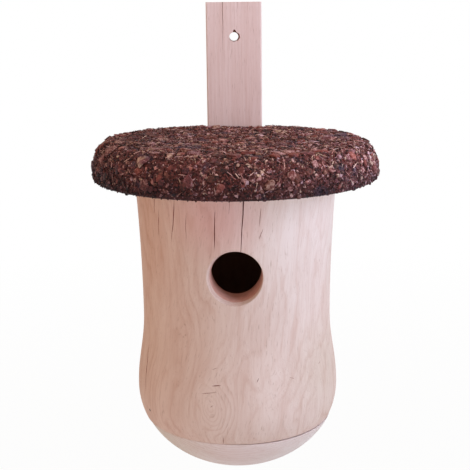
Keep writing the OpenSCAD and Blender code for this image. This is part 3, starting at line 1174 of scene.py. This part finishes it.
def flake(draw):
    """A flat chip of unit size with a broken outline, a raised middle and a curl along its length."""
    corners = draw.randint(6, 8)
    stretch = draw.uniform(1.0, 1.7)
    thickness = draw.uniform(0.05, 0.1)
    curl = draw.uniform(-0.1, 0.3)
    shape = bmesh.new()
    rim = []
    for i in range(corners):
        a = 2 * math.pi * (i + draw.uniform(-0.3, 0.3)) / corners
        reach = draw.uniform(0.62, 1.0) / 2
        rim.append((reach * stretch * math.cos(a), reach * math.sin(a)))

    def lifted(x, y, height):
        """A corner at a height, lowered by the curl and off its place by a little."""
        ragged = FLAKE_RAGGED * thickness * draw.uniform(-1, 1)
        return shape.verts.new((x, y, height - curl * x * x + ragged))

    low = [lifted(x, y, -thickness) for x, y in rim]
    high = [lifted(x * FLAKE_TOP, y * FLAKE_TOP, thickness) for x, y in rim]
    middle = lifted(FLAKE_SHIFT * draw.uniform(-1, 1), 0, thickness * FLAKE_CROWN)
    for i in range(corners):
        k = (i + 1) % corners
        shape.faces.new((low[i], low[k], high[k], high[i]))
        shape.faces.new((high[i], high[k], middle))
    shape.faces.new(low[::-1])
    return shape


def sliver(draw, slim, thick, bend):
    """A long thin splinter of unit length with three sides, bent a little."""
    width = draw.uniform(slim, thick)
    bend = draw.uniform(-bend, bend)
    shape = bmesh.new()
    rings = []
    for share in even_steps(0, 1, SLIVER_STATIONS):
        inner = min(max(share, SLIVER_END), 1 - SLIVER_END)
        girth = width / 2 * (SLIVER_TIP + (1 - SLIVER_TIP) * math.sin(math.pi * inner))
        y = bend * math.sin(math.pi * share) + SLIVER_STRAYS * draw.uniform(-1, 1)
        z = SLIVER_LIFT * abs(bend) * share * draw.uniform(0.6, 1.0)
        rings.append([Vector((share - 0.5, y + girth * math.cos(a), z + SLIVER_FLAT * girth * math.sin(a)))
                      for a in turns(SLIVER_SIDES)])
    loft(shape, rings)
    return shape


def splinter(draw):
    """A splinter of outer bark, thicker and more bent than a pale one."""
    return sliver(draw, slim=0.09, thick=0.18, bend=0.08)


def pale_sliver(draw):
    """A slim and nearly straight splinter of inner bark."""
    return sliver(draw, slim=0.08, thick=0.14, bend=0.04)


def crumb(draw):
    """A small broken lump of unit size: a blunt gem of five sides."""
    shape = bmesh.new()
    belt = []
    for a in turns(CRUMB_SIDES):
        reach = draw.uniform(0.35, 0.6)
        height = draw.uniform(-0.12, 0.12)
        belt.append(shape.verts.new((reach * math.cos(a), reach * math.sin(a), height)))
    top = shape.verts.new([draw.uniform(*ends) for ends in ((-0.15, 0.15), (-0.15, 0.15), (0.22, 0.4))])
    foot = shape.verts.new((0, 0, draw.uniform(-0.4, -0.22)))
    for i in range(CRUMB_SIDES):
        k = (i + 1) % CRUMB_SIDES
        shape.faces.new((belt[i], belt[k], top))
        shape.faces.new((belt[k], belt[i], foot))
    return shape


# A strewing of chips: its piece, the maker of its chips, chips in a square metre, sizes in millimetres,
# tilt in degrees, range of tones, and its lift off the crust and its foot above the roof's lower edge, both
# in millimetres
Strewing = namedtuple("Strewing", "piece chip density smallest largest tilt darkest palest lift foot")
STREWINGS = (
    Strewing("bark_grit", crumb, 420000, 0.6, 1.4, 180, 0.05, 0.9, 0.2, -1.0),
    Strewing("bark_crumbs", crumb, 170000, 1.1, 2.1, 180, 0.05, 0.9, 0.4, 0.5),
    Strewing("bark_flakes_small", flake, 60000, 1.8, 3.6, 20, 0.1, 0.95, 0.6, 0.8),
    Strewing("bark_flakes_middle", flake, 9000, 3.6, 6.0, 10, 0.15, 0.8, 0.9, 2.0),
    Strewing("bark_flakes_large", flake, 2200, 6.0, 9.0, 5, 0.35, 0.7, 1.2, 4.5),
    Strewing("bark_splinters", splinter, 110000, 1.8, 4.6, 16, 0.1, 1.05, 0.8, 1.2),
    Strewing("bark_slivers", pale_sliver, 3500, 3.5, 7.5, 9, 0.8, 1.25, 1.3, 4.0),
)
CHIP_KINDS = 8
# A chip's kind is picked by a number up to this one, counted round and round the kinds
LARGEST_PICK = 99
FIRST_SEED = 21
# Each random value of a chip has a seed of its own, this far from the next
SEED_STEP = 100
# Most chips are dark and few are pale
DARK_LEANING = 1.5


def strewn_chips():
    """Geometry Nodes that strew a collection's chips over a skin and give each a tone and a tint."""
    tree, given, out = new_group(
        "strewn_chips",
        (("Geometry", "Geometry"), ("Chips", "Collection"), ("Density", "Float"), ("Smallest", "Float"),
         ("Largest", "Float"), ("Tilt", "Float"), ("Darkest", "Float"), ("Palest", "Float"),
         ("Lift", "Float"), ("Seed", "Int"), ("Material", "Material")),
        (("Geometry", "Geometry"),), "GeometryNodeTree")
    points = node(tree, "GeometryNodeDistributePointsOnFaces",
                  {"Mesh": given["Geometry"], "Density": given["Density"], "Seed": given["Seed"]})
    lifted = node(tree, "GeometryNodeSetPosition",
                  {"Geometry": points.outputs["Points"],
                   "Offset": scaled(tree, points.outputs["Normal"], given["Lift"])})

    def drawn(number, low, high, kind="FLOAT"):
        """A random value for each chip, by a draw of its own."""
        seed = node(tree, "FunctionNodeIntegerMath", {0: given["Seed"], 1: SEED_STEP * number},
                    operation="ADD")
        made = node(tree, "FunctionNodeRandomValue", {"Seed": seed.outputs[0]}, data_type=kind)
        socket_type = "INT" if kind == "INT" else "VALUE"
        ends = [s for s in made.inputs if s.type == socket_type and s.name in ("Min", "Max")]
        for socket, value in zip(ends, (low, high)):
            plug(tree, socket, value)
        return next(s for s in made.outputs if s.type == socket_type)

    low_tilt = math_node(tree, "MULTIPLY", given["Tilt"], -1.0)
    spin = node(tree, "ShaderNodeCombineXYZ", {"X": drawn(1, low_tilt, given["Tilt"]),
                                               "Y": drawn(2, low_tilt, given["Tilt"]),
                                               "Z": drawn(3, 0.0, 2 * math.pi)})
    euler = node(tree, "FunctionNodeEulerToRotation", {"Euler": spin.outputs["Vector"]})
    turned = node(tree, "FunctionNodeRotateRotation", {"Rotation": points.outputs["Rotation"],
                                                       "Rotate By": euler.outputs["Rotation"]},
                  rotation_space="LOCAL")
    chips = node(tree, "GeometryNodeCollectionInfo", {"Collection": given["Chips"],
                                                      "Separate Children": True, "Reset Children": True})
    placed = node(tree, "GeometryNodeInstanceOnPoints",
                  {"Points": lifted.outputs["Geometry"], "Instance": chips.outputs["Instances"],
                   "Pick Instance": True, "Instance Index": drawn(4, 0, LARGEST_PICK, "INT"),
                   "Rotation": turned.outputs["Rotation"],
                   "Scale": drawn(5, given["Smallest"], given["Largest"])})
    paleness = math_node(tree, "POWER", drawn(6, 0.0, 1.0), DARK_LEANING)
    tone = remap(tree, paleness, 0.0, 1.0, given["Darkest"], given["Palest"])
    geometry = placed.outputs["Instances"]
    for label, value in (("chip_tone", tone), ("chip_tint", drawn(7, 0.0, 1.0))):
        geometry = node(tree, "GeometryNodeStoreNamedAttribute",
                        {"Geometry": geometry, "Name": label, "Value": value},
                        data_type="FLOAT", domain="INSTANCE").outputs["Geometry"]
    real = node(tree, "GeometryNodeRealizeInstances", {"Geometry": geometry})
    coated = node(tree, "GeometryNodeSetMaterial", {"Geometry": real.outputs["Geometry"],
                                                    "Material": given["Material"]})
    plug(tree, out.inputs["Geometry"], coated.outputs["Geometry"])
    return tree


def strew(piece, strewing, seed, material):
    """Turns a bed into one mesh of all the chips of a strewing on it."""
    draw = random.Random(seed)
    chips = bpy.data.collections.new(strewing.piece)
    for _ in range(CHIP_KINDS):
        chip = mesh_object("chip", strewing.chip(draw))
        bpy.context.scene.collection.objects.unlink(chip)
        chips.objects.link(chip)
    piece.name = strewing.piece
    modifier = piece.modifiers.new("strewn", "NODES")
    modifier.node_group = bpy.data.node_groups.get("strewn_chips") or strewn_chips()
    values = {"Chips": chips, "Density": float(strewing.density), "Smallest": strewing.smallest * MM,
              "Largest": strewing.largest * MM, "Tilt": math.radians(strewing.tilt),
              "Darkest": strewing.darkest, "Palest": strewing.palest, "Lift": strewing.lift * MM,
              "Seed": seed, "Material": material}
    for item in modifier.node_group.interface.items_tree:
        if item.in_out == "INPUT" and item.name in values:
            modifier[item.identifier] = values[item.name]
    apply_modifiers(piece)
    for chip in list(chips.objects):
        bpy.data.objects.remove(chip)
    bpy.data.collections.remove(chips)
    settle(piece, "bark_chips")


class NESTBOX_OT_bark_coat(bpy.types.Operator):
    """Lays the bark crust over the roof board and strews grit, crumbs, flakes and splinters on it"""

    bl_idname = "nestbox.bark_coat"
    bl_label = "Bark coat"

    def execute(self, context):
        look = context.scene.nestbox_bark
        bark = bark_material(look)
        crust = crust_blank(look, bark)
        cut_away(crust, notch_cutter(bark))
        settle(crust, "bark_chips", "bark_cover", sharp=40)
        for number, strewing in enumerate(STREWINGS):
            strew(chip_bed(look, strewing.foot * MM), strewing, FIRST_SEED + number, bark)
        return {"FINISHED"}


# Screws and nails

def recess_cutters(look, place, material):
    """The two crossed blocks of the recess in a screw's head, cut from the batten's back."""
    depth = 2 * look.recess_depth
    level = (look.recess_reach, depth, look.recess_width)
    upright = (look.recess_width, depth, look.recess_reach)
    return [block("recess", place, size, material) for size in (level, upright)]


class NESTBOX_OT_fixings(bpy.types.Operator):
    """Gives the screws their zinc and a cross recess, and the nails their dark steel"""

    bl_idname = "nestbox.fixings"
    bl_label = "Screws and nails"

    def execute(self, context):
        look = context.scene.nestbox_metal
        zinc = metal_material("dull zinc", look.zinc, look.zinc_dull)
        steel = metal_material("dark steel", look.zinc_dull, look.steel)
        for name in NAILS:
            dress(name, steel)
        for name in SCREWS:
            low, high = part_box(name)
            head = Vector(((low.x + high.x) / 2, high.y, (low.z + high.z) / 2))
            screw = node_copy(name, name.replace("batten_screw", "zinc_screw"), zinc)
            cut_away(screw, *recess_cutters(look, head, zinc))
            settle(screw, "zinc_steel", name, sharp=30)
        return {"FINISHED"}


# The stage

# A lamp: its name in the stage's look, its place from the point that it faces, and its width, in metres
Lamp = namedtuple("Lamp", "name place width")
LAMPS = (
    Lamp("key", Vector((0.36, -0.19, 0.16)), 0.25),
    Lamp("fill", Vector((-1.2, -0.7, 0.2)), 1.0),
    Lamp("card", Vector((0.05, -0.9, -0.3)), 0.6),
    Lamp("top", Vector((0.3, -0.2, 1.3)), 0.6),
)
LAMP_TARGET = AXIS + Vector((0, 0, 120 * MM))
WHITE = (1, 1, 1, 1)
PALE_FLOOR = (0.85, 0.85, 0.85, 1)


def add_lamp(look, lamp):
    """A square lamp that faces the box and that the camera doesn't see."""
    light = bpy.data.lights.new(lamp.name, "AREA")
    light.shape = "SQUARE"
    light.size = lamp.width
    light.energy = getattr(look, lamp.name + "_watts")
    light.color = getattr(look, lamp.name + "_colour")[:3]
    made = add_object(lamp.name, light)
    made.location = LAMP_TARGET + lamp.place
    made.visible_camera = False
    made.rotation_euler = (-lamp.place).to_track_quat("-Z", "Y").to_euler()


def seen_directly(tree):
    """1 where the camera looks straight, or by a mirror or glass; 0 for light that falls on the box."""
    path = node(tree, "ShaderNodeLightPath").outputs
    shown = math_node(tree, "MAXIMUM", path["Is Camera Ray"], path["Is Glossy Ray"])
    return math_node(tree, "MAXIMUM", shown, path["Is Transmission Ray"])


def white_room(look):
    """A world that shows plain white and lights the box evenly with a dimmer, tinted light."""
    world = bpy.data.worlds.new("white room")
    world.use_nodes = True
    tree = world.node_tree
    shade = tree.nodes["Background"]
    shown = seen_directly(tree)
    plug_all(tree, shade.inputs, {"Color": blend_colour(tree, shown, tuple(look.room_colour), WHITE),
                                  "Strength": math_node(tree, "MAXIMUM", shown, look.ambient)})
    return world


def floor_material(look):
    """White floor, clear from below, that keeps a soft share of the shadow and fades to plain white."""
    material, tree, shader = new_material("white floor")
    plug_all(tree, shader.inputs, {"Base Color": PALE_FLOOR, "Roughness": 0.9})
    glow = node(tree, "ShaderNodeEmission", {"Color": WHITE, "Strength": 1.0})
    reach = vector_node(tree, "LENGTH", node(tree, "ShaderNodeTexCoord").outputs["Object"])
    white = remap(tree, reach, 0.0, look.shadow_reach, look.shadow_white, 1.0)
    share = math_node(tree, "MULTIPLY", seen_directly(tree), white)
    mixed = node(tree, "ShaderNodeMixShader", {0: share, 1: shader.outputs[0], 2: glow.outputs[0]})
    below = node(tree, "ShaderNodeNewGeometry").outputs["Backfacing"]
    clear = node(tree, "ShaderNodeBsdfTransparent")
    one_sided = node(tree, "ShaderNodeMixShader", {0: below, 1: mixed.outputs[0], 2: clear.outputs[0]})
    plug(tree, tree.nodes["Material Output"].inputs["Surface"], one_sided.outputs[0])
    return material


class NESTBOX_OT_stage(bpy.types.Operator):
    """Adds the camera, the lamps, the white room and the pale floor"""

    bl_idname = "nestbox.stage"
    bl_label = "Stage"

    def execute(self, context):
        look = context.scene.nestbox_stage
        camera = bpy.data.cameras.new("camera")
        camera.lens = look.lens
        camera.sensor_width = look.sensor
        eye = add_object("camera", camera)
        eye.location = AXIS + Vector((look.camera_side, -look.camera_back, look.camera_rise))
        level = Matrix.Rotation(math.radians(90) - look.camera_pitch, 4, "X")
        eye.rotation_euler = (level @ Matrix.Rotation(look.camera_roll, 4, "Z")).to_euler()
        context.scene.camera = eye
        shape = bmesh.new()
        bmesh.ops.create_grid(shape, x_segments=1, y_segments=1, size=look.floor_reach)
        bmesh.ops.translate(shape, vec=(0, 0, AXIS.z - look.floor_drop), verts=shape.verts)
        floor = mesh_object("floor", shape, floor_material(look))
        if floor.data.polygons[0].normal.z < 0:
            floor.data.flip_normals()
        for lamp in LAMPS:
            add_lamp(look, lamp)
        context.scene.world = white_room(look)
        context.scene.view_settings.view_transform = "Standard"
        return {"FINISHED"}


class NESTBOX_PT_panel(bpy.types.Panel):
    """Buttons for the box's pieces and its stage"""

    bl_label = "Nest box"
    bl_idname = "NESTBOX_PT_panel"
    bl_space_type = "VIEW_3D"
    bl_region_type = "UI"
    bl_category = "Nest box"

    def draw(self, context):
        for name in OPERATORS:
            self.layout.operator("nestbox." + name)


LOOKS = {"nestbox_stage": StageLook, "nestbox_wood": WoodLook, "nestbox_bark": BarkLook,
         "nestbox_metal": MetalLook}
OPERATORS = ("turned_log", "turned_floor", "batten", "roof_board", "bark_coat", "fixings", "stage")
CLASSES = (*LOOKS.values(), NESTBOX_OT_turned_log, NESTBOX_OT_turned_floor, NESTBOX_OT_batten,
           NESTBOX_OT_roof_board, NESTBOX_OT_bark_coat, NESTBOX_OT_fixings, NESTBOX_OT_stage,
           NESTBOX_PT_panel)


def register():
    """Adds the classes to Blender, and the looks to its scenes."""
    for cls in CLASSES:
        bpy.utils.register_class(cls)
    for name, look in LOOKS.items():
        setattr(bpy.types.Scene, name, bpy.props.PointerProperty(type=look))


def unregister():
    """Takes the looks and the classes out of Blender again."""
    for name in LOOKS:
        delattr(bpy.types.Scene, name)
    for cls in reversed(CLASSES):
        bpy.utils.unregister_class(cls)


def main():
    """Makes every piece and the stage."""
    register()
    for name in OPERATORS:
        getattr(bpy.ops.nestbox, name)()


if __name__ == "__main__":
    main()
